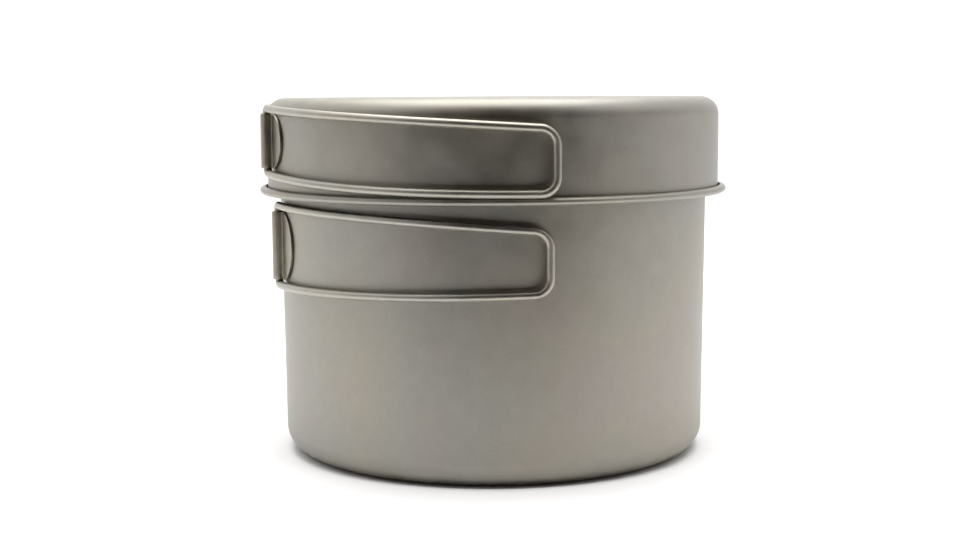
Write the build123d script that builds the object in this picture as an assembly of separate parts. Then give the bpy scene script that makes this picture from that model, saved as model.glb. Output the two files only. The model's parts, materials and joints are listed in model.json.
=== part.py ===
from build123d import *
import math
import os

# Camp cooking pot with a shallow pan that turns over to be its lid, both spun from titanium sheet.
# Each vessel carries one sheet bracket, and each bracket holds two wire handles that fold round the wall.
# Millimetres and degrees. The origin is the centre of the pot's base, +Z is up, and the pot's bracket
# is centred on the -X side. A turn is an angle about +Z, counted from -X towards -Y, which is the front.

# Driving dimensions: vessels
sheet = 0.5                     # thickness of both vessels
pot_base_radius = 63.2          # outside the wall, where it would meet the base
pot_rim_radius = 64.3           # outside the wall, at the rolled rim
pot_height = 103.0
pot_corner = 7.6                # outside radius between base and wall
pan_radius = 67.65              # outside the straight wall
pan_corner = 5.3
pan_top = 105.6                 # outer face of the pan's floor, as a lid
pan_rim_bottom = 77.35
curl_width = 2.85               # rolled rim, from the wall's inner face outwards
curl_height = 2.3
curl_sweep = 283.0              # how far the rolled sheet goes round

# Driving dimensions: brackets
bracket_sheet = 0.6
pivot_offset = 15.5             # from the bracket's middle to each handle's pivot
pot_bracket_z = (52.8, 72.6)
pan_bracket_z = (85.75, 100.95)
pan_turn = 5.55                 # the pan lies on the pot a little turned
ear_share = 0.9                 # how far an ear reaches, as a share of half its height
pivot_clearance = 0.1           # pin in its rolled channel
weld_radius = 1.4
weld_depth = 0.25               # how deep a spot weld holds in the wall

# Driving dimensions: handles
wire_radius = 1.175
wall_gap = 0.55                 # pin to wall
tip_gap = 1.2                   # free end to wall, folded
bend_setback = 1.7              # at the pin, from the corner point to each tangent point
corner_setback = 4.4            # at the free end
pin_gap = 2.0                   # between the two wire ends inside the channel
pot_tip_turn = 100.9            # end bar of the folded front handle, from the bracket's middle
pan_tip_turn = 96.0
pot_upper_leg = (74.5, 73.5, 70.6)      # height at the pin, halfway and at the free end
pot_lower_leg = (51.2, 52.35, 53.5)
pan_upper_leg = (102.6, 100.4, 97.75)
pan_lower_leg = (84.1, 81.5, 80.6)


def pot_wall_radius(z):
    return pot_base_radius + (pot_rim_radius - pot_base_radius) * z / pot_height


def pan_wall_radius(z):
    return pan_radius


def around(radius, turn, z=0.0):
    """Point at a radius from the axis and a turn from -X."""
    angle = math.radians(turn)
    return Vector(-radius * math.cos(angle), -radius * math.sin(angle), z)


def rolled_rim(inner_radius, centre_z, direction):
    """Face of a rim rolled outwards from the wall: direction is 1 for a rim at the bottom, -1 at the top."""
    centre = (inner_radius + curl_width / 2, centre_z)
    wide = curl_width / 2
    high = curl_height / 2
    sweep_angle = direction * curl_sweep
    outer = EllipticalCenterArc(centre, wide, high, start_angle=180, arc_size=sweep_angle)
    inner = EllipticalCenterArc(centre, wide - sheet, high - sheet, start_angle=180, arc_size=sweep_angle)
    start = Line(inner @ 0, outer @ 0)
    end = Line(outer @ 1, inner @ 1)
    return make_face([start, outer, end, inner])


def spun(face):
    """Solid of revolution about the vertical axis of a face drawn as radius and height."""
    return revolve(Plane.XZ * face, Axis.Z, 360)


def dish(outer_radius_low, outer_radius_high, floor_z, rim_z, corner):
    """Face of a plain sheet dish from its floor to its rim, in radius and height."""
    inside = sheet if rim_z > floor_z else -sheet
    points = [
        (0, floor_z),
        (outer_radius_low, floor_z),
        (outer_radius_high, rim_z),
        (outer_radius_high - sheet, rim_z),
        (outer_radius_low - sheet, floor_z + inside),
        (0, floor_z + inside),
    ]
    face = make_face(Polyline(*points, close=True))
    outer = face.vertices().sort_by_distance(points[1])[0]
    face = fillet(outer, corner)
    inner = face.vertices().sort_by_distance(points[4])[0]
    return fillet(inner, corner - sheet)


def pot_body():
    centre_z = pot_height - curl_height / 2
    rim_radius = pot_wall_radius(centre_z)
    wall = dish(pot_base_radius, rim_radius, 0, centre_z, pot_corner)
    return spun(wall) + spun(rolled_rim(rim_radius - sheet, centre_z, -1))


def pan_body():
    centre_z = pan_rim_bottom + curl_height / 2
    wall = dish(pan_radius, pan_radius, pan_top, centre_z, pan_corner)
    return spun(wall) + spun(rolled_rim(pan_radius - sheet, centre_z, 1))


def pivot_point(wall_radius):
    """Axis of the front handle's pins, in plan."""
    radius = wall_radius + wall_gap + wire_radius
    return around(radius, math.degrees(math.asin(pivot_offset / radius)))


def channel(pivot, radius, z_low, z_high):
    """Upright round-backed slot that stands on the wall: a rolled channel's outside or its inside."""
    outward = Vector(pivot.X, pivot.Y, 0).normalized()
    plan = Plane(origin=(pivot.X, pivot.Y, z_low), x_dir=(outward.X, outward.Y, 0), z_dir=(0, 0, 1))
    reach = 3 * wire_radius
    profile = Circle(radius) + Pos(-reach / 2, 0) * Rectangle(reach, 2 * radius)
    return extrude(plan * profile, z_high - z_low)


def bracket(wall_radius, z_range):
    """One sheet with two rolled channels and two rounded ears, spot-welded to the wall."""
    z_low, z_high = z_range
    half = (z_high - z_low) / 2
    middle = (z_high + z_low) / 2
    front = pivot_point(wall_radius(middle))
    rear = Vector(front.X, -front.Y, 0)
    back_of_channel = wire_radius + pivot_clearance + bracket_sheet
    low, high = wall_radius(z_low), wall_radius(z_high)
    ear_turn = math.degrees(math.asin((pivot_offset + back_of_channel) / wall_radius(middle)))

    strip = make_face(Polyline(
        (low, z_low), (low + bracket_sheet, z_low),
        (high + bracket_sheet, z_high), (high, z_high), close=True))
    ear_plane = pivot_offset + back_of_channel
    outline = Pos(-high / 2 - half, 0, middle) * Box(high + 2 * half, 2 * ear_plane, 2 * half)
    for turn in (-ear_turn, ear_turn):
        radial = Plane(origin=around(high / 2, turn, middle), x_dir=(0, 0, 1), z_dir=around(1, turn))
        outline += extrude(radial * Ellipse(half, half * ear_share), high)
    plate = spun(strip) & outline

    inside_wall = spun(make_face(Polyline(
        (0, z_low - half), (wall_radius(z_low - half), z_low - half),
        (wall_radius(z_high + half), z_high + half), (0, z_high + half), close=True)))
    for pivot in (front, rear):
        plate += channel(pivot, back_of_channel, z_low, z_high)
    for pivot in (front, rear):
        plate -= channel(pivot, wire_radius + pivot_clearance, z_low - 1, z_high + 1)
    plate -= inside_wall

    spacing = half / 2
    for turn in (-ear_turn * 1.25, -ear_turn * 0.25, ear_turn * 0.25, ear_turn * 1.25):
        for z in (middle - spacing, middle + spacing):
            wall = wall_radius(z)
            spot = Plane(origin=around(wall - weld_depth, turn, z), z_dir=around(1, turn))
            plate += extrude(spot * Circle(weld_radius), weld_depth + bracket_sheet / 2)
    return plate


def bend(corner, arrive, leave, setback):
    """Arc that turns a wire from one direction into another round a corner point."""
    half_turn = math.radians(arrive.get_angle(leave)) / 2
    radius = setback / math.tan(half_turn)
    to_centre = (leave - arrive).normalized()
    centre = corner + to_centre * (radius / math.cos(half_turn))
    return ThreePointArc(corner - arrive * setback, centre - to_centre * radius, corner + leave * setback)


def leg(wall_radius, pivot, tip_turn, heights):
    """Long side of a handle, whose tangent at its start meets the pivot's axis one setback away."""
    base = wall_radius + wire_radius
    pivot_turn = math.degrees(math.asin(pivot_offset / pivot.length))
    end_turn = tip_turn - math.degrees(corner_setback / base)
    start_turn = pivot_turn + math.degrees(bend_setback / base)
    start = around(base + wall_gap, start_turn, heights[0])
    halfway = around(base + wall_gap + tip_gap / 4, (start_turn + end_turn) / 2, heights[1])
    end = around(base + tip_gap, end_turn, heights[2])
    for _ in range(6):
        arc = ThreePointArc(start, halfway, end)
        meet = start - (arc % 0) * bend_setback
        start = start + Vector(pivot.X - meet.X, pivot.Y - meet.Y, 0)
    return ThreePointArc(start, halfway, end)


def handle(wall_radius, tip_turn, upper_heights, lower_heights, pins_middle):
    """Closed wire loop of the front handle, whose two ends turn towards each other as pins."""
    pivot = pivot_point(wall_radius)
    upper = leg(wall_radius, pivot, tip_turn, upper_heights)
    lower = leg(wall_radius, pivot, tip_turn, lower_heights)
    up = Vector(0, 0, 1)
    upper_pin = upper @ 0 - (upper % 0) * bend_setback
    lower_pin = lower @ 0 - (lower % 0) * bend_setback
    upper_corner = upper @ 1 + (upper % 1) * corner_setback
    lower_corner = lower @ 1 + (lower % 1) * corner_setback
    down_bar = (lower_corner - upper_corner).normalized()

    first_bend = bend(upper_pin, up, upper % 0, bend_setback)
    first_corner = bend(upper_corner, upper % 1, down_bar, corner_setback)
    second_corner = bend(lower_corner, down_bar, (lower % 1) * -1, corner_setback)
    last_bend = bend(lower_pin, (lower % 0) * -1, up, bend_setback)
    upper_end = Vector(upper_pin.X, upper_pin.Y, pins_middle + pin_gap / 2)
    lower_end = Vector(lower_pin.X, lower_pin.Y, pins_middle - pin_gap / 2)
    path = Wire([
        Line(upper_end, first_bend @ 0),
        first_bend,
        upper,
        first_corner,
        Line(first_corner @ 1, second_corner @ 0),
        second_corner,
        ThreePointArc(lower @ 1, lower @ 0.5, lower @ 0),
        last_bend,
        Line(last_bend @ 1, lower_end),
    ])
    section = Plane(origin=upper_end, z_dir=up) * Circle(wire_radius)
    return sweep(section, path)


def write(shape, node):
    export_step(shape, "parts/" + node + ".step")


def main():
    os.makedirs("parts", exist_ok=True)
    write(pot_body(), "pot_body")
    write(pan_body(), "pan_body")

    pot_middle = sum(pot_bracket_z) / 2
    pan_middle = sum(pan_bracket_z) / 2
    pot_radius = pot_wall_radius(pot_middle)
    pan_angle = Rot(0, 0, pan_turn)
    write(bracket(pot_wall_radius, pot_bracket_z), "pot_handle_bracket")
    write(pan_angle * bracket(pan_wall_radius, pan_bracket_z), "pan_handle_bracket")

    pot_handle = handle(pot_radius, pot_tip_turn, pot_upper_leg, pot_lower_leg, pot_middle)
    pan_handle = handle(pan_radius, pan_tip_turn, pan_upper_leg, pan_lower_leg, pan_middle)
    write(pot_handle, "pot_handle_front")
    write(mirror(pot_handle, Plane.XZ), "pot_handle_rear")
    write(pan_angle * pan_handle, "pan_handle_front")
    write(pan_angle * mirror(pan_handle, Plane.XZ), "pan_handle_rear")

    for name, radius, turn in (("pot", pot_radius, 0), ("pan", pan_radius, pan_turn)):
        front = Rot(0, 0, turn) * Pos(*pivot_point(radius))
        rear = Rot(0, 0, turn) * Pos(pivot_point(radius).X, -pivot_point(radius).Y, 0)
        print(name, "pivots, front and rear:", front.position, rear.position)


main()
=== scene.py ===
# %% [markdown]
# # A camp cooking pot with its pan lid
# The real object is two thin titanium vessels: a deep pot, and a shallow pan that turns over to be the
# pot's lid. Each one has a sheet bracket on its side, and each bracket holds two wire handles that fold
# round the wall. Everything starts from the imported CAD frame, which says where each part is and how it
# moves.

# %% Load the frame
import json
import math

import bpy
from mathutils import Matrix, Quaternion, Vector


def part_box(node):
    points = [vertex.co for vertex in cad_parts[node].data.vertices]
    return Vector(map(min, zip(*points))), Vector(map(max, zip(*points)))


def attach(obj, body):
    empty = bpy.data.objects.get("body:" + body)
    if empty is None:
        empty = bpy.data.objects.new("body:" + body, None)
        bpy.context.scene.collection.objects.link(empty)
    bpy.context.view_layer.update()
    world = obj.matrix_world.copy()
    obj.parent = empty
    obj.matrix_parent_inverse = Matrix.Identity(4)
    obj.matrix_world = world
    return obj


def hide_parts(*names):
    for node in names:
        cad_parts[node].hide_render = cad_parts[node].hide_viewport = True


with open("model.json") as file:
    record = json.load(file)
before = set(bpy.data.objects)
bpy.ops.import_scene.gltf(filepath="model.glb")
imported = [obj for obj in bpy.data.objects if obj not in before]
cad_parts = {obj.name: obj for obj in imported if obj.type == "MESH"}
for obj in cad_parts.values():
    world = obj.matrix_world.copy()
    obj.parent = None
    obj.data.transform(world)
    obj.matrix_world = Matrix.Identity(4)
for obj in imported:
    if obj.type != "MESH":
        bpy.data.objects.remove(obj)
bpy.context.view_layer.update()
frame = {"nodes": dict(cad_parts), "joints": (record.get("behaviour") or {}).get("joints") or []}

MM = 0.001
joints = {joint["name"]: joint for joint in frame["joints"]}
print("nodes:", sorted(frame["nodes"]), "joints:", sorted(joints))

# %% [markdown]
# ## The camera
# The set is seen from just above its lid, close enough for some perspective, with a short telephoto lens.
# The camera comes first, because every later choice is judged through it. Its place is given in the frame's
# own metres: how far it stands from the pot's axis, how high, how far it tips down, and how far round the
# pot it has walked.

# %% Camera
CAMERA_DISTANCE = 477.1 * MM
CAMERA_HEIGHT = 107.5 * MM
CAMERA_TURN = math.radians(2.4)
CAMERA_TIP = 0.117
CAMERA_ROLL = -0.005
LENS = 57.77
SHIFT = -0.0045


def add_camera():
    data = bpy.data.cameras.new("camera")
    camera = bpy.data.objects.new("camera", data)
    bpy.context.scene.collection.objects.link(camera)
    data.lens = LENS
    data.shift_x = SHIFT
    side = -math.sin(CAMERA_TURN)
    front = -math.cos(CAMERA_TURN)
    camera.location = (side * CAMERA_DISTANCE, front * CAMERA_DISTANCE, CAMERA_HEIGHT)
    level = math.cos(CAMERA_TIP)
    sight = Vector((-side * level, -front * level, -math.sin(CAMERA_TIP)))
    roll = Quaternion((0, 0, 1), CAMERA_ROLL)
    camera.rotation_euler = (sight.to_track_quat("-Z", "Y") @ roll).to_euler()
    bpy.context.scene.camera = camera
    return camera


print("camera at", [round(x, 4) for x in add_camera().location])

# %% [markdown]
# ## Sizes of the two vessels
# A pot like this is pressed and spun from one disc, so its sheet is as thick in the floor as in the wall.
# The edge is rolled outwards into a hollow bead, which makes the thin rim stiff and kind to lips. The bead
# is wider than it is high, so it is drawn as an arc of an ellipse. The outer sizes could be typed in, but
# they are read from the frame's boxes, so that the new pieces keep to the CAD when it changes.

# %% Vessel sizes
SHEET = 0.5 * MM
CURL_WIDTH = 2.85 * MM
CURL_HEIGHT = 2.3 * MM
CURL_SWEEP = 283
POT_CORNER = 7.6 * MM
PAN_CORNER = 5.3 * MM
POT_DRAFT = 1.1 * MM

pot_low, pot_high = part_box("pot_body")
pan_low, pan_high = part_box("pan_body")
curl_level = pot_high.z - CURL_HEIGHT / 2
pot_rim_radius = (pot_high.x - pot_low.x) / 2 - CURL_WIDTH + SHEET
pan_wall_radius = (pan_high.x - pan_low.x) / 2 - CURL_WIDTH + SHEET


def pot_radius(z):
    """Outside of the pot's wall at a height: the wall leans outwards a little towards the rim."""
    return pot_rim_radius - (curl_level - z) * POT_DRAFT / pot_high.z


print("pot radius", round(pot_radius(0), 5), "to", round(pot_rim_radius, 5))
print("pan radius", round(pan_wall_radius, 5))

# %% [markdown]
# ## The line of a wall
# Whatever is turned on a lathe is one line swept round an axis. Here the line is the inner face of the
# sheet: half the floor, the corner, the wall, and the outside of the roll. Each stretch is a short list of
# radius and height, made by one helper for straight stretches and one for arcs, because a formula stays
# smooth at any zoom. The pan's line is the same with its mouth at the bottom, which the sign called up
# takes care of.

# %% Straight stretches, arcs and a whole wall
def straight(start, end, steps):
    """Points of a straight stretch, with its first point left out."""
    return [
        (start[0] + (end[0] - start[0]) * step / steps, start[1] + (end[1] - start[1]) * step / steps)
        for step in range(1, steps + 1)
    ]


def arc(centre, radii, start, end, steps):
    """Points of an arc between two angles in degrees, with its first point left out."""
    places = []
    for step in range(1, steps + 1):
        angle = math.radians(start + (end - start) * step / steps)
        places.append((centre[0] + radii[0] * math.cos(angle), centre[1] + radii[1] * math.sin(angle)))
    return places


def wall_line(floor, foot_radius, corner, rim_radius, rim_level, up):
    """Inner face of a vessel. up is 1 when its mouth is at the top, and -1 for the turned-over pan."""
    corner_centre = (foot_radius - corner, floor + up * corner)
    line = [(0, floor)]
    line += straight(line[0], (corner_centre[0], floor), 8)
    line += arc(corner_centre, (corner, corner), -90 * up, 0, 20)
    line += straight(line[-1], (rim_radius, rim_level), 14)
    curl_centre = (rim_radius + CURL_WIDTH / 2, rim_level)
    line += arc(curl_centre, (CURL_WIDTH / 2, CURL_HEIGHT / 2), 180, 180 - up * CURL_SWEEP, 44)
    return line


pot_line = wall_line(
    SHEET, pot_radius(POT_CORNER) - SHEET, POT_CORNER - SHEET, pot_rim_radius - SHEET, curl_level, 1
)
pan_line = wall_line(
    pan_high.z - SHEET, pan_wall_radius - SHEET, PAN_CORNER - SHEET,
    pan_wall_radius - SHEET, pan_low.z + CURL_HEIGHT / 2, -1,
)
print("points in the pot's line:", len(pot_line), "and in the pan's:", len(pan_line))

# %% [markdown]
# ## Drawing with one vertex
# Sheet metal and wire are both a line that something is done to: a wall is a line turned on a lathe, a
# bracket is an upright edge drawn sideways, and a handle is a line with thickness. So one small set of
# helpers draws them all. A plane is merged into a single vertex, and that vertex is extruded from place to
# place. It could also be a curve, but a vertex can be pulled, spun, mirrored and bevelled with the same
# operators as any mesh.

# %% Starting and pulling a piece
def start_at(name, place):
    """A new piece that is one selected vertex, left in edit mode, with its object at the origin."""
    bpy.ops.object.select_all(action="DESELECT")
    bpy.ops.mesh.primitive_plane_add(size=MM)
    piece = bpy.context.object
    piece.name = name
    piece.data.name = name
    bpy.ops.object.mode_set(mode="EDIT")
    bpy.ops.mesh.select_all(action="SELECT")
    bpy.ops.mesh.merge(type="CENTER")
    bpy.ops.transform.translate(value=place)
    return piece


def pull(start, places):
    """Extrudes whatever is selected through places, and returns the last one."""
    for place in places:
        bpy.ops.mesh.extrude_region_move(TRANSFORM_OT_translate={"value": place - start})
        start = place
    return start


def draw_wall(name, line):
    """A wall's line, drawn in the upright plane through the axis."""
    places = [Vector((radius, 0, height)) for radius, height in line]
    piece = start_at(name, places[0])
    pull(places[0], places[1:])
    bpy.ops.object.mode_set(mode="OBJECT")
    print(name, "is a line of", len(piece.data.edges), "edges")
    return piece


vessel_pieces = {"pot": draw_wall("pot_shell", pot_line), "pan": draw_wall("pan_shell", pan_line)}

# %% [markdown]
# ## Finishing any piece
# Every piece ends the same way, so its last steps are helpers. Modifiers are applied at once, so that
# each finished mesh holds its whole shape without them. Faces have to point outwards, and one face whose
# side we know tells us about them all. Smooth shading by angle keeps cut edges crisp while rounded corners
# flow.

# %% Modifiers, faces and shading
def apply_modifier(piece, kind, **settings):
    """Adds one modifier, sets it up and applies it."""
    modifier = piece.modifiers.new(kind.lower(), kind)
    for name, value in settings.items():
        setattr(modifier, name, value)
    bpy.ops.object.modifier_apply(modifier=modifier.name)


def face_the_right_way(face, way):
    """Turns all faces of the active piece round if this one points against a way."""
    if face.normal.dot(way) < 0:
        bpy.ops.object.mode_set(mode="EDIT")
        bpy.ops.mesh.flip_normals()
        bpy.ops.object.mode_set(mode="OBJECT")


def finish_mesh(piece, sharp_angle):
    """Smooth shading that keeps real corners, and a line that says what was made."""
    bpy.ops.object.mode_set(mode="OBJECT")
    bpy.ops.object.shade_smooth_by_angle(angle=math.radians(sharp_angle))
    triangles = sum(len(face.vertices) - 2 for face in piece.data.polygons)
    print(piece.name, triangles, "triangles,", [round(size / MM, 2) for size in piece.dimensions], "mm")


print("helpers ready for", len(vessel_pieces), "vessels")

# %% [markdown]
# ## The lathe
# Spin turns each line round the axis, which leaves a pole in the floor's middle and a seam where the turn
# closes, so doubles are merged. Screw would do the same as a modifier, but with an operator the mesh is
# there at once to be looked at. Solidify then gives the sheet its half millimetre on the far side of the
# drawn face, which is why the floor's face has to point into the vessel.

# %% Spin the pot and the pan
LATHE_STEPS = 288
MERGE = 0.002 * MM


def spin_vessel(piece, up):
    bpy.ops.object.select_all(action="DESELECT")
    piece.select_set(True)
    bpy.context.view_layer.objects.active = piece
    bpy.ops.object.mode_set(mode="EDIT")
    bpy.ops.mesh.select_all(action="SELECT")
    bpy.ops.mesh.spin(steps=LATHE_STEPS, angle=math.tau, center=(0, 0, 0), axis=(0, 0, 1))
    bpy.ops.mesh.select_all(action="SELECT")
    bpy.ops.mesh.remove_doubles(threshold=MERGE)
    bpy.ops.mesh.normals_make_consistent(inside=True)
    bpy.ops.object.mode_set(mode="OBJECT")
    floor_face = min(piece.data.polygons, key=lambda face: face.center.xy.length)
    face_the_right_way(floor_face, Vector((0, 0, up)))
    apply_modifier(piece, "SOLIDIFY", thickness=SHEET, offset=-1, use_even_offset=True)
    finish_mesh(piece, 60)


spin_vessel(vessel_pieces["pot"], 1)
spin_vessel(vessel_pieces["pan"], -1)

# %% [markdown]
# ## What the hinges say
# The brackets and handles are placed from the frame's joints. Each vessel has two hinges, one for each
# handle, and halfway between them is the bracket's middle. Turns in plan are counted from that middle
# towards the front handle, because that makes a bracket and its handles the same drawing on both vessels.
# The pan lies a little turned on the pot, and its pieces are drawn straight first and turned at the end.

# %% Hinge places
WIRE = 1.175 * MM


def way_out(turn):
    """Direction in plan of a turn, counted from the bracket's middle towards the front handle."""
    angle = math.pi + turn
    return Vector((math.cos(angle), math.sin(angle), 0))


def hinge_layout(vessel):
    """What the frame says about one vessel's bracket and pair of hinges."""
    front = Vector(joints[vessel + "_handle_front_swing"]["pos_m"])
    rear = Vector(joints[vessel + "_handle_rear_swing"]["pos_m"])
    low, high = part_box(vessel + "_handle_bracket")
    radius = front.xy.length
    offset = (front.xy - rear.xy).length / 2
    return {
        "vessel_turn": math.atan2(-(front + rear).y, -(front + rear).x),
        "radius": radius,
        "turn": math.asin(offset / radius),
        "level": (low.z + high.z) / 2,
        "half_height": (high.z - low.z) / 2,
    }


layouts = {vessel: hinge_layout(vessel) for vessel in vessel_pieces}
wall_radii = {"pot": pot_radius(layouts["pot"]["level"]), "pan": pan_wall_radius}
print("hinge layouts", layouts)
print("wall radii behind the brackets", wall_radii)

# %% [markdown]
# ## The brackets in plan
# Each bracket is one strip of sheet bent over two pins: flat, up and round the first wire, down to the flat
# middle, and the same again. Bending a flat strip would be the workshop's way, but the bend operator needs
# a window. So we work out the bent section as seen from above, from the middle to the root of the ear:
# along the wall, a small inside bend, half a turn round the wire, and a small bend back on to the wall.

# %% Section of a bracket
BRACKET_SHEET = 0.55 * MM
BRACKET_LIFT = 0.15 * MM
CHANNEL_CLEARANCE = 0.1 * MM
ROOT_BEND = 0.8 * MM


def degrees_between(start, end, steps):
    """Angles in radians from start to end in degrees, both included."""
    return [math.radians(start + (end - start) * step / steps) for step in range(steps + 1)]


def bracket_section(vessel):
    """Front half of the bent section, the turn where it ends, and the radius of the sheet on the wall."""
    layout = layouts[vessel]
    face = wall_radii[vessel] + BRACKET_LIFT + BRACKET_SHEET / 2
    outward = way_out(layout["turn"])
    along = way_out(layout["turn"] + math.pi / 2)
    roll = WIRE + CHANNEL_CLEARANCE + BRACKET_SHEET / 2
    foot = roll + ROOT_BEND
    drop = layout["radius"] - face - ROOT_BEND

    def local(sideways, up):
        return outward * (layout["radius"] + up) + along * sideways

    flat = [way_out((layout["turn"] - foot / face) * step / 14) * face for step in range(15)]
    bend_up = [
        local(-foot + ROOT_BEND * math.sin(angle), -drop - ROOT_BEND * math.cos(angle))
        for angle in degrees_between(15, 90, 5)
    ]
    round_wire = [
        local(-roll * math.cos(angle), roll * math.sin(angle))
        for angle in degrees_between(0, 180, 20)
    ]
    bend_down = [
        local(foot - ROOT_BEND * math.cos(angle), -drop - ROOT_BEND * math.sin(angle))
        for angle in degrees_between(0, 90, 6)
    ]
    return flat + bend_up + round_wire + bend_down, layout["turn"] + foot / face, face


for vessel in layouts:
    print(vessel, "bracket section has", len(bracket_section(vessel)[0]), "points")

# %% [markdown]
# ## Bracket sheet
# The middle of the bracket is drawn as an upright edge and extruded sideways along the section. The ends
# are cut round: in the ear each new edge is also made shorter, as the cosine of an angle whose sine gives
# the way along the wall, and that draws the curve without a boolean. A Mirror modifier makes the other
# half, Solidify the thickness, and a small Bevel takes the sharpness off the cut edges.

# %% Draw the brackets
EAR_SHARE = 0.9
BRACKET_ROWS = 16
CUT_EDGE = 0.12 * MM


def turn_piece(piece, angle):
    """Turns a finished mesh about the pot's axis, and leaves its object unturned."""
    bpy.ops.object.mode_set(mode="OBJECT")
    piece.rotation_euler.z = angle
    bpy.ops.object.transform_apply(location=False, rotation=True, scale=False)


def draw_ear(here, first_turn, face, layout):
    """Extrudes the selected edge along the wall while it shrinks to a point like half an ellipse."""
    share = 1.0
    for angle in degrees_between(3, 87, 28):
        reach = layout["half_height"] * EAR_SHARE * math.sin(angle)
        here = pull(here, [way_out(first_turn + reach / face) * face])
        next_share = math.cos(angle)
        middle = (0, 0, layout["level"])
        bpy.ops.transform.resize(value=(1, 1, next_share / share), center_override=middle)
        share = next_share


def draw_bracket(name, vessel):
    layout = layouts[vessel]
    section, ear_turn, face = bracket_section(vessel)
    foot = Vector((0, 0, layout["level"] - layout["half_height"]))
    piece = start_at(name, section[0] + foot)
    row = Vector((0, 0, 2 * layout["half_height"] / BRACKET_ROWS))
    pull(Vector(), [row * step for step in range(1, BRACKET_ROWS + 1)])
    bpy.ops.mesh.select_all(action="SELECT")
    draw_ear(pull(section[0], section[1:]), ear_turn, face, layout)
    bpy.ops.mesh.select_all(action="SELECT")
    bpy.ops.mesh.normals_make_consistent(inside=False)
    bpy.ops.object.mode_set(mode="OBJECT")
    middle_face = min(piece.data.polygons, key=lambda face_: abs(face_.center.y))
    face_the_right_way(middle_face, Vector((-1, 0, 0)))
    apply_modifier(piece, "MIRROR", use_axis=(False, True, False), use_clip=True, merge_threshold=0.01 * MM)
    apply_modifier(piece, "SOLIDIFY", thickness=BRACKET_SHEET, offset=0, use_even_offset=True)
    edges_over = math.radians(50)
    apply_modifier(piece, "BEVEL", width=CUT_EDGE, segments=3, limit_method="ANGLE", angle_limit=edges_over)
    turn_piece(piece, layout["vessel_turn"])
    finish_mesh(piece, 40)
    return piece


bracket_pieces = {vessel: draw_bracket(vessel + "_bracket", vessel) for vessel in layouts}

# %% [markdown]
# ## The way of a wire
# A handle is one length of wire bent into a long loop. Its two ends turn towards each other and sit inside
# the rolled channel as hinge pins, so the loop can't be lost. The legs follow the wall, standing off it a
# little more towards the free end, and the pan's loop droops until it rests on the rolled rim. Each leg's
# height is known at three places, so a smooth curve through three values gives every point between.

# %% Legs of a handle
BEND_SETBACK = 1.7 * MM
CORNER_SETBACK = 4.4 * MM
LEG_STEPS = 64
WALL_GAP = (0.55 * MM, 0.85 * MM, 1.2 * MM)
HANDLES = {
    "pot": {
        "tip": math.radians(100.9),
        "upper": (74.5 * MM, 73.5 * MM, 70.6 * MM),
        "lower": (51.2 * MM, 52.35 * MM, 53.5 * MM),
    },
    "pan": {
        "tip": math.radians(96.0),
        "upper": (102.6 * MM, 100.4 * MM, 97.75 * MM),
        "lower": (84.1 * MM, 81.5 * MM, 80.6 * MM),
    },
}


def through(values, share):
    """Smooth curve through three values at shares 0, one half and 1."""
    start, half, end = values
    rise = 4 * half - 3 * start - end
    bow = 2 * start + 2 * end - 4 * half
    return start + rise * share + bow * share * share


def leg_points(vessel, side):
    """One long side of the front handle, from its hinge corner to its free corner."""
    layout = layouts[vessel]
    heights = HANDLES[vessel][side]
    base = wall_radii[vessel] + WIRE
    start_turn = layout["turn"] + BEND_SETBACK / base
    sweep = HANDLES[vessel]["tip"] - CORNER_SETBACK / base - start_turn

    def place(share):
        out = way_out(start_turn + sweep * share) * (base + through(WALL_GAP, share))
        return out + Vector((0, 0, through(heights, share)))

    places = [place(step / LEG_STEPS) for step in range(LEG_STEPS + 1)]
    first_rise = place(BEND_SETBACK / base / sweep).z - places[0].z
    hinge_corner = way_out(layout["turn"]) * layout["radius"] + Vector((0, 0, places[0].z - first_rise))
    last_way = (places[-1] - places[-2]).normalized()
    return [hinge_corner] + places + [places[-1] + last_way * CORNER_SETBACK]


for vessel in HANDLES:
    leg = leg_points(vessel, "upper")
    print(vessel, "upper leg is", round((leg[-1] - leg[0]).length / MM, 1), "mm from corner to corner")

# %% [markdown]
# ## From a line to a wire
# We pull a vertex along the whole loop, leaving its corners sharp, and round them with a vertex bevel, as a
# bender does with a former. The line then becomes a curve, whose bevel depth gives it a round section. A
# circle extruded along the loop would need turning at every step, which the curve does by itself. The rear
# handle is the front one in a mirror, so its normals are worked out again.

# %% Draw the handles
PIN_GAP = 2.0 * MM


def round_corners(piece, corners, setback):
    """Vertex bevel of the line's vertices at these places."""
    bpy.ops.mesh.select_all(action="DESELECT")
    bpy.ops.object.mode_set(mode="OBJECT")
    for vertex in piece.data.vertices:
        vertex.select = any((vertex.co - corner).length < 0.01 * MM for corner in corners)
    bpy.ops.object.mode_set(mode="EDIT")
    bpy.ops.mesh.bevel(offset=setback * 0.98, segments=12, affect="VERTICES")


def line_to_wire():
    """Gives the active line the wire's round section, and returns the solid piece."""
    bpy.ops.object.mode_set(mode="OBJECT")
    bpy.ops.object.convert(target="CURVE")
    curve = bpy.context.object.data
    curve.bevel_depth = WIRE
    curve.bevel_resolution = 12
    curve.use_fill_caps = True
    bpy.ops.object.convert(target="MESH")
    return bpy.context.object


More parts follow.
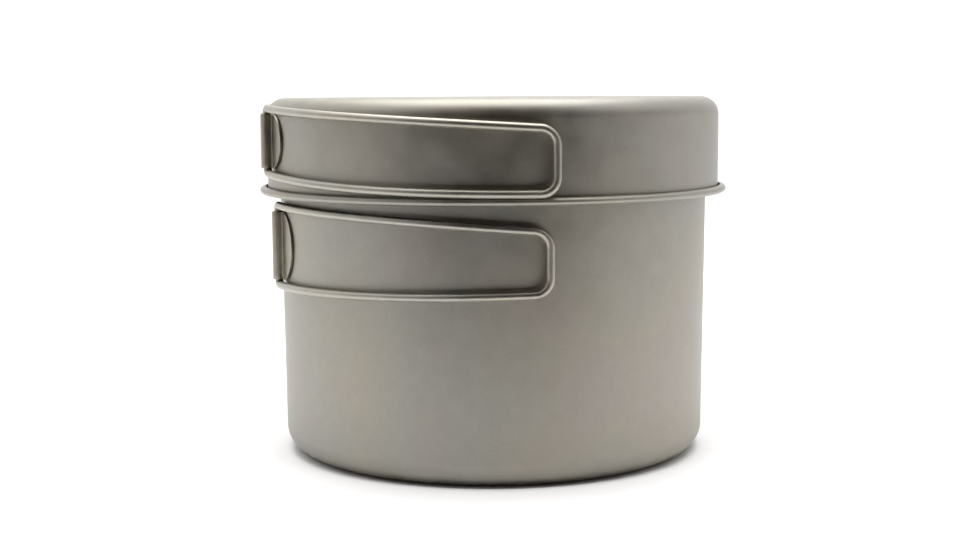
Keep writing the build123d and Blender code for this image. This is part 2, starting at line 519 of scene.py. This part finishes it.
def draw_handle(name, vessel, mirrored):
    upper = leg_points(vessel, "upper")
    lower = leg_points(vessel, "lower")
    level = layouts[vessel]["level"]
    upper_pin = Vector((upper[0].x, upper[0].y, level + PIN_GAP / 2))
    lower_pin = Vector((lower[0].x, lower[0].y, level - PIN_GAP / 2))
    piece = start_at(name, upper_pin)
    pull(upper_pin, upper + lower[::-1] + [lower_pin])
    round_corners(piece, [upper[0], lower[0]], BEND_SETBACK)
    round_corners(piece, [upper[-1], lower[-1]], CORNER_SETBACK)
    if mirrored:
        bpy.ops.mesh.select_all(action="SELECT")
        bpy.ops.transform.resize(value=(1, -1, 1), center_override=(0, 0, 0))
    piece = line_to_wire()
    turn_piece(piece, layouts[vessel]["vessel_turn"])
    bpy.ops.object.mode_set(mode="EDIT")
    bpy.ops.mesh.select_all(action="SELECT")
    bpy.ops.mesh.remove_doubles(threshold=MERGE)
    bpy.ops.mesh.normals_make_consistent(inside=False)
    finish_mesh(piece, 60)
    return piece


handle_pieces = {}
for vessel in layouts:
    for side in ("front", "rear"):
        body = vessel + "_handle_" + side
        handle_pieces[body] = draw_handle(body + "_wire", vessel, side == "rear")

# %% [markdown]
# ## Noise for the metal
# The metal is blasted to a satin finish, so it has no clear reflections, only soft light and dark areas,
# with a fine grain close up. Three noises on Object coordinates do the work: a large one for tints, a
# middle one for mottling and worn spots, and a very fine one for grain. Painted pictures could do it too,
# but a noise has no seam on a round wall and stays sharp at any distance.

# %% Nodes for the titanium
def node(tree, kind, **inputs):
    """A new node with its inputs set by name."""
    made = tree.nodes.new(kind)
    for name, value in inputs.items():
        made.inputs[name.replace("_", " ")].default_value = value
    return made


def noise(tree, scale, detail, roughness):
    """A noise that sits in the metal, as an output between about 0.25 and 0.75."""
    texture = node(tree, "ShaderNodeTexNoise", Scale=scale, Detail=detail, Roughness=roughness)
    place = tree.nodes.new("ShaderNodeTexCoord")
    tree.links.new(place.outputs["Object"], texture.inputs["Vector"])
    return texture.outputs["Fac"]


def spread(tree, value, reach, low, high):
    """Stretches the middle of a noise, up to reach on either side of one half, from low to high."""
    stretch = node(
        tree, "ShaderNodeMapRange", From_Min=0.5 - reach, From_Max=0.5 + reach, To_Min=low, To_Max=high
    )
    tree.links.new(value, stretch.inputs["Value"])
    return stretch.outputs["Result"]


print("a noise of scale 16 has patches about", round(1000 / 16), "mm wide")

# %% [markdown]
# ## Tints of heat and handling
# Titanium grows a very thin oxide, and its thickness shows as colour: here only faintly pink, green and
# straw. The large noise picks from a ramp of four tints, close enough to each other that no edge of a patch
# shows. The middle noise and the grain then make the colour a little darker and lighter, by one
# multiplication.

# %% Colour of the metal
TINTS = ((1.02, 0.98, 0.95), (0.98, 1.0, 0.97), (1.02, 1.0, 0.93), (1.02, 0.97, 0.98))
TINT_SHARES = (0.3, 0.43, 0.57, 0.7)


def tinted_metal(tree, metal):
    """The metal's colour in patches of the four tints."""
    ramp = tree.nodes.new("ShaderNodeValToRGB")
    stops = ramp.color_ramp.elements
    for share in TINT_SHARES[1:3]:
        stops.new(share)
    for stop, share, tint in zip(stops, TINT_SHARES, TINTS):
        stop.position = share
        stop.color = (*[level * part for level, part in zip(metal, tint)], 1)
    tree.links.new(noise(tree, 16.0, 2.0, 0.45), ramp.inputs["Fac"])
    return ramp.outputs["Color"]


def shaded(tree, colour, shade, speckle):
    """A colour made darker and lighter by two factors."""
    both = tree.nodes.new("ShaderNodeMath")
    both.operation = "MULTIPLY"
    tree.links.new(shade, both.inputs[0])
    tree.links.new(speckle, both.inputs[1])
    scaled = tree.nodes.new("ShaderNodeVectorMath")
    scaled.operation = "SCALE"
    tree.links.new(colour, scaled.inputs[0])
    tree.links.new(both.outputs["Value"], scaled.inputs["Scale"])
    return scaled.outputs["Vector"]


print("tints differ by up to", max(max(tint) - min(tint) for tint in TINTS))

# %% [markdown]
# ## Three titanium finishes
# All three finishes are one shader, a metal with middling roughness. The vessels are the dullest, the
# pressed brackets are a little smoother, and the drawn wire is the brightest. Worn spots are smoother than
# the rest, so the middle noise moves the roughness too, and the grain gives a bump of a few thousandths of
# a millimetre.

# %% Titanium material
def titanium(name, metal, roughness, grain_scale, grain_depth):
    material = bpy.data.materials.new(name)
    material.use_nodes = True
    tree = material.node_tree
    shader = tree.nodes["Principled BSDF"]
    shader.inputs["Metallic"].default_value = 1.0
    mottle = noise(tree, 140.0, 3.0, 0.55)
    grain = noise(tree, grain_scale, 2.0, 0.6)

    shade = spread(tree, mottle, 0.2, 0.93, 1.05)
    speckle = spread(tree, grain, 0.25, 0.93, 1.07)
    colour = shaded(tree, tinted_metal(tree, metal), shade, speckle)
    tree.links.new(colour, shader.inputs["Base Color"])
    dullness = spread(tree, mottle, 0.2, roughness - 0.04, roughness + 0.05)
    tree.links.new(dullness, shader.inputs["Roughness"])
    bump = node(tree, "ShaderNodeBump", Strength=0.35, Distance=grain_depth)
    tree.links.new(grain, bump.inputs["Height"])
    tree.links.new(bump.outputs["Normal"], shader.inputs["Normal"])
    print(name, "has", len(tree.nodes), "nodes")
    return material


vessel_finish = titanium("vessel_titanium", (0.36, 0.345, 0.325), 0.48, 3800.0, 0.006 * MM)
bracket_finish = titanium("bracket_titanium", (0.35, 0.333, 0.3), 0.42, 3000.0, 0.005 * MM)
wire_finish = titanium("wire_titanium", (0.42, 0.403, 0.378), 0.42, 2600.0, 0.004 * MM)

# %% [markdown]
# ## Riding, replacing and finishing
# On the real set a bracket is welded to its vessel and goes wherever it goes, while each handle swings by
# itself. So every piece is told which CAD body it rides on, which CAD node it stands for, and where its
# finish comes from.

# %% Give each piece its body and finish
def place_piece(piece, body, cad_node, material):
    piece.data.materials.clear()
    piece.data.materials.append(material)
    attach(piece, body)
    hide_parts(cad_node)
    print(piece.name, "rides on", body)


for vessel, piece in vessel_pieces.items():
    place_piece(piece, vessel, vessel + "_body", vessel_finish)
for vessel, piece in bracket_pieces.items():
    place_piece(piece, vessel, vessel + "_handle_bracket", bracket_finish)
for body, piece in handle_pieces.items():
    place_piece(piece, body, body, wire_finish)

# %% [markdown]
# ## The table
# Satin metal shows its surroundings more than its lamps, so the studio is built as carefully as the set. It
# stands on a white table. The floor is one very large plane, whose far edge can't be told from the white
# world behind it. A dull material without any gloss keeps the lamps from shining in it.

# %% Floor
FLOOR_WHITE = 0.84


def plain_material(name, colour):
    material = bpy.data.materials.new(name)
    material.use_nodes = True
    shader = material.node_tree.nodes["Principled BSDF"]
    shader.inputs["Base Color"].default_value = (*colour, 1)
    shader.inputs["Roughness"].default_value = 1.0
    shader.inputs["Specular IOR Level"].default_value = 0.0
    return material


def add_plane(name, size, place, material):
    bpy.ops.object.select_all(action="DESELECT")
    bpy.ops.mesh.primitive_plane_add(size=size, location=place)
    plane = bpy.context.object
    plane.name = name
    plane.data.materials.append(material)
    return plane


floor = add_plane("floor", 30.0, (0, 0, 0), plain_material("floor_white", (FLOOR_WHITE,) * 3))
print("the floor is", floor.dimensions.x, "m wide")

# %% [markdown]
# ## What the metal sees
# The side where the viewer stands is an unlit room, with dark ground where the white table ends. That is
# what darkens the middle of the wall. The sides are dimmer than the back, so the wall gets lighter towards
# its edges. All this could be large lamps, but upright cards that glow are easier to aim. The camera
# doesn't see them, and the dark ground is left out of everything except reflections, so that it takes no
# light from the floor.

# %% Cards and dark ground
ROOM_RADIUS = 1.0
CARD_FOOT = 0.002
CARD_PANELS = 12
CARDS = {
    "front_card": (-42, 44, 2.1, (0.03, 0.018, 0.016)),
    "left_card": (-95, -42, 0.7, (0.52, 0.49, 0.48)),
    "right_card": (44, 92, 0.62, (0.52, 0.49, 0.48)),
    "back_left_card": (-140, -95, 0.62, (1.0, 1.0, 1.0)),
    "back_right_card": (92, 140, 0.62, (0.9, 0.9, 0.9)),
}


def add_card(name, first, last, height, glow):
    """An upright card bent round the set, between two directions in degrees from the front to the right."""
    places = []
    for step in range(CARD_PANELS + 1):
        angle = math.radians(first + (last - first) * step / CARD_PANELS)
        places.append(Vector((math.sin(angle), -math.cos(angle), 0)) * ROOM_RADIUS)
    foot = Vector((0, 0, CARD_FOOT))
    card = start_at(name, places[0] + foot)
    pull(foot, [Vector((0, 0, height))])
    bpy.ops.mesh.select_all(action="SELECT")
    pull(places[0], places[1:])
    bpy.ops.object.mode_set(mode="OBJECT")
    material = plain_material(name, (0, 0, 0))
    shader = material.node_tree.nodes["Principled BSDF"]
    shader.inputs["Emission Color"].default_value = (*glow, 1)
    shader.inputs["Emission Strength"].default_value = 1.0
    card.data.materials.append(material)
    card.visible_camera = False
    print(name, "from", first, "to", last, "degrees,", height, "m high")


def add_table_edge():
    """Dark ground where the white table ends, in front of the set."""
    ground = plain_material("ground_dark", (0.03, 0.025, 0.02))
    edge = add_plane("table_edge", 1.0, (0, -0.75, 0.001), ground)
    edge.scale = (1.6, 0.94, 1.0)
    edge.visible_camera = False
    edge.visible_diffuse = False
    edge.visible_shadow = False


for name, settings in CARDS.items():
    add_card(name, *settings)
add_table_edge()

# %% [markdown]
# ## Lamps and world
# A wide softbox overhead draws the white line on every edge that faces upwards. A second, smaller one
# lights the table in front of the set, so that a thin dark line is all that is left under the rounded base,
# and reflections don't show it. The world is plain white for the background, and the view's contrast is
# raised a little.

# %% Softboxes and white world
def add_softbox(name, place, aim, size, power):
    data = bpy.data.lights.new(name, "AREA")
    data.shape = "RECTANGLE"
    data.size = size[0]
    data.size_y = size[1]
    data.energy = power
    lamp = bpy.data.objects.new(name, data)
    bpy.context.scene.collection.objects.link(lamp)
    lamp.location = place
    lamp.rotation_euler = (Vector(aim) - Vector(place)).to_track_quat("-Z", "Y").to_euler()
    print(name, "of", size, "m at", place)
    return lamp


def add_white_world():
    world = bpy.data.worlds.new("tent")
    bpy.context.scene.world = world
    world.use_nodes = True
    background = world.node_tree.nodes["Background"]
    background.inputs["Color"].default_value = (1.0, 1.0, 1.0, 1)
    background.inputs["Strength"].default_value = 1.1


add_softbox("top_softbox", (0.0, 0.27, 1.0), (0.0, 0.27, 0.0), (0.95, 0.95), 6.4)
table_lamp = add_softbox("table_lamp", (0.0, -0.45, 0.9), (0.0, -0.1, 0.0), (0.9, 0.2), 4.4)
table_lamp.visible_glossy = False
add_white_world()
bpy.context.scene.view_settings.view_transform = "Standard"
bpy.context.scene.view_settings.look = "Medium High Contrast"
